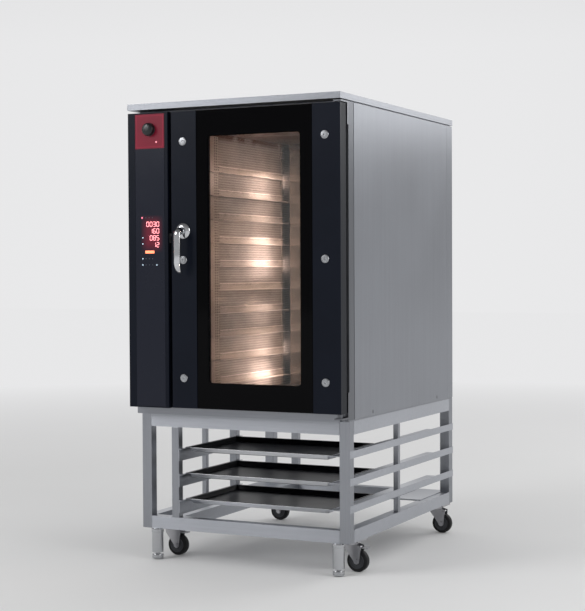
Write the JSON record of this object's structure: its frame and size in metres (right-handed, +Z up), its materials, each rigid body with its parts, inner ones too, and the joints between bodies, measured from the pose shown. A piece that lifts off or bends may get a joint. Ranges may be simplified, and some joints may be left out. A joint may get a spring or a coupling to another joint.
{
  "type": "convection oven on stand",
  "caption": "Tall convection oven with a glazed side-hinged door and a left control column, on a wheeled steel stand that stores baking trays.",
  "frame": {"origin": "middle of the footprint on the floor", "axes": "+Z up, -Y towards the door's front, +X towards the hinge side"},
  "size_m": [0.876, 1.175, 1.69],
  "materials": {
    "cover_steel": "brushed",
    "casing_steel": "brushed",
    "rear_steel": "satin",
    "chamber_steel": "bright",
    "stand_steel": "brushed",
    "bright_steel": "polished",
    "black_enamel": "satin",
    "control_black": "gloss",
    "red_panel": "satin",
    "black_plastic": "matt",
    "dark_glass": "gloss",
    "clear_glass": "gloss",
    "grey_frame": "satin",
    "seal_rubber": "matt",
    "mineral_wool": "matt",
    "heater_sheath": "oxidised",
    "motor_paint": "satin",
    "board": "matt",
    "tray_steel": "satin",
    "wheel_tyre": "matt",
    "plated_steel": "plated"
  },
  "bodies": {
    "oven": {"top_cover": "cover_steel", "left_side_panel": "casing_steel", "right_side_panel": "casing_steel", "rear_corner_posts": "casing_steel", "rear_panel": "rear_steel", "cable_gland": "black_plastic", "steam_outlet": "bright_steel", "base_pan": "rear_steel", "plinth_strip": "cover_steel", "hinge_column": "casing_steel", "face_frame": "chamber_steel", "chamber_liner": "chamber_steel", "insulation": "mineral_wool", "compartment_wall": "rear_steel", "mouth_gasket": "seal_rubber", "fan_baffle": "chamber_steel", "left_tray_rack": "chamber_steel", "right_tray_rack": "chamber_steel", "fan_motors": "motor_paint", "heating_coils": "heater_sheath", "chamber_lamps": "clear_glass", "power_unit": "motor_paint", "control_frame": "black_enamel", "control_fascia": "control_black", "knob_panel": "red_panel", "control_electronics": "board", "latch_keeper": "plated_steel", "hinge_brackets": "plated_steel", "stand_posts": "stand_steel", "stand_top_rails": "stand_steel", "stand_bottom_rails": "stand_steel", "stand_runners": "stand_steel", "leg_tubes": "bright_steel", "castor_plates": "plated_steel"},
    "door": {"door_frame": "grey_frame", "door_front_glass": "dark_glass", "door_side_plates": "black_enamel", "door_caps": "bright_steel", "door_inner_glass": "clear_glass", "handle_escutcheon": "bright_steel"},
    "handle": {"handle_lever": "bright_steel", "latch_tongue": "plated_steel"},
    "knob": {"control_knob": "black_plastic"},
    "lower_fan": {"lower_fan_wheel": "chamber_steel"},
    "upper_fan": {"upper_fan_wheel": "chamber_steel"},
    "storage_tray_1": {"tray_1": "tray_steel"},
    "storage_tray_2": {"tray_2": "tray_steel"},
    "storage_tray_3": {"tray_3": "tray_steel"},
    "left_levelling_foot": {"left_foot": "bright_steel"},
    "right_levelling_foot": {"right_foot": "bright_steel"},
    "front_left_castor": {"front_left_fork": "plated_steel"},
    "front_left_roller": {"front_left_wheel": "wheel_tyre"},
    "front_left_brake_lever": {"front_left_brake": "plated_steel"},
    "front_right_castor": {"front_right_fork": "plated_steel"},
    "front_right_roller": {"front_right_wheel": "wheel_tyre"},
    "front_right_brake_lever": {"front_right_brake": "plated_steel"},
    "rear_left_castor": {"rear_left_fork": "plated_steel"},
    "rear_left_roller": {"rear_left_wheel": "wheel_tyre"},
    "rear_right_castor": {"rear_right_fork": "plated_steel"},
    "rear_right_roller": {"rear_right_wheel": "wheel_tyre"}
  },
  "joints": [
    {"name": "door_hinge", "type": "hinge", "parent": "oven", "child": "door", "pos_m": [0.406, -0.5095, 0.5805], "axis": [0, 0, 1], "range_deg": [0, 120]},
    {"name": "handle_turn", "type": "hinge", "parent": "door", "child": "handle", "pos_m": [-0.202, -0.5355, 1.222], "axis": [0, -1, 0], "range_deg": [0, 90]},
    {"name": "knob_turn", "type": "hinge", "parent": "oven", "child": "knob", "pos_m": [-0.342, -0.5355, 1.594], "axis": [0, -1, 0], "continuous": true},
    {"name": "lower_fan_spin", "type": "hinge", "parent": "oven", "child": "lower_fan", "pos_m": [0.08575, 0.4025, 0.85475], "axis": [0, 1, 0], "continuous": true},
    {"name": "upper_fan_spin", "type": "hinge", "parent": "oven", "child": "upper_fan", "pos_m": [0.08575, 0.4025, 1.35025], "axis": [0, 1, 0], "continuous": true},
    {"name": "tray_1_slide", "type": "slide", "parent": "oven", "child": "storage_tray_1", "axis": [0, -1, 0], "range_m": [0, 0.35]},
    {"name": "tray_2_slide", "type": "slide", "parent": "oven", "child": "storage_tray_2", "axis": [0, -1, 0], "range_m": [0, 0.35]},
    {"name": "tray_3_slide", "type": "slide", "parent": "oven", "child": "storage_tray_3", "axis": [0, -1, 0], "range_m": [0, 0.35]},
    {"name": "left_foot_screw", "type": "slide", "parent": "oven", "child": "left_levelling_foot", "axis": [0, 0, 1], "range_m": [-0.002, 0.005]},
    {"name": "right_foot_screw", "type": "slide", "parent": "oven", "child": "right_levelling_foot", "axis": [0, 0, 1], "range_m": [-0.002, 0.005]},
    {"name": "front_left_swivel", "type": "hinge", "parent": "oven", "child": "front_left_castor", "pos_m": [-0.38, -0.3355, 0.1097], "axis": [0, 0, 1], "continuous": true},
    {"name": "front_left_roll", "type": "hinge", "parent": "front_left_castor", "child": "front_left_roller", "pos_m": [-0.348, -0.3355, 0.04], "axis": [0, 1, 0], "continuous": true},
    {"name": "front_left_brake_press", "type": "hinge", "parent": "front_left_castor", "child": "front_left_brake_lever", "pos_m": [-0.34, -0.3355, 0.088], "axis": [0, 1, 0], "range_deg": [0, 10]},
    {"name": "front_right_swivel", "type": "hinge", "parent": "oven", "child": "front_right_castor", "pos_m": [0.364, -0.3355, 0.1097], "axis": [0, 0, 1], "continuous": true},
    {"name": "front_right_roll", "type": "hinge", "parent": "front_right_castor", "child": "front_right_roller", "pos_m": [0.396, -0.3355, 0.04], "axis": [0, 1, 0], "continuous": true},
    {"name": "front_right_brake_press", "type": "hinge", "parent": "front_right_castor", "child": "front_right_brake_lever", "pos_m": [0.404, -0.3355, 0.088], "axis": [0, 1, 0], "range_deg": [0, 10]},
    {"name": "rear_left_swivel", "type": "hinge", "parent": "oven", "child": "rear_left_castor", "pos_m": [-0.38, 0.5235, 0.1097], "axis": [0, 0, 1], "continuous": true},
    {"name": "rear_left_roll", "type": "hinge", "parent": "rear_left_castor", "child": "rear_left_roller", "pos_m": [-0.348, 0.5235, 0.04], "axis": [0, 1, 0], "continuous": true},
    {"name": "rear_right_swivel", "type": "hinge", "parent": "oven", "child": "rear_right_castor", "pos_m": [0.364, 0.5235, 0.1097], "axis": [0, 0, 1], "continuous": true},
    {"name": "rear_right_roll", "type": "hinge", "parent": "rear_right_castor", "child": "rear_right_roller", "pos_m": [0.396, 0.5235, 0.04], "axis": [0, 1, 0], "continuous": true}
  ]
}
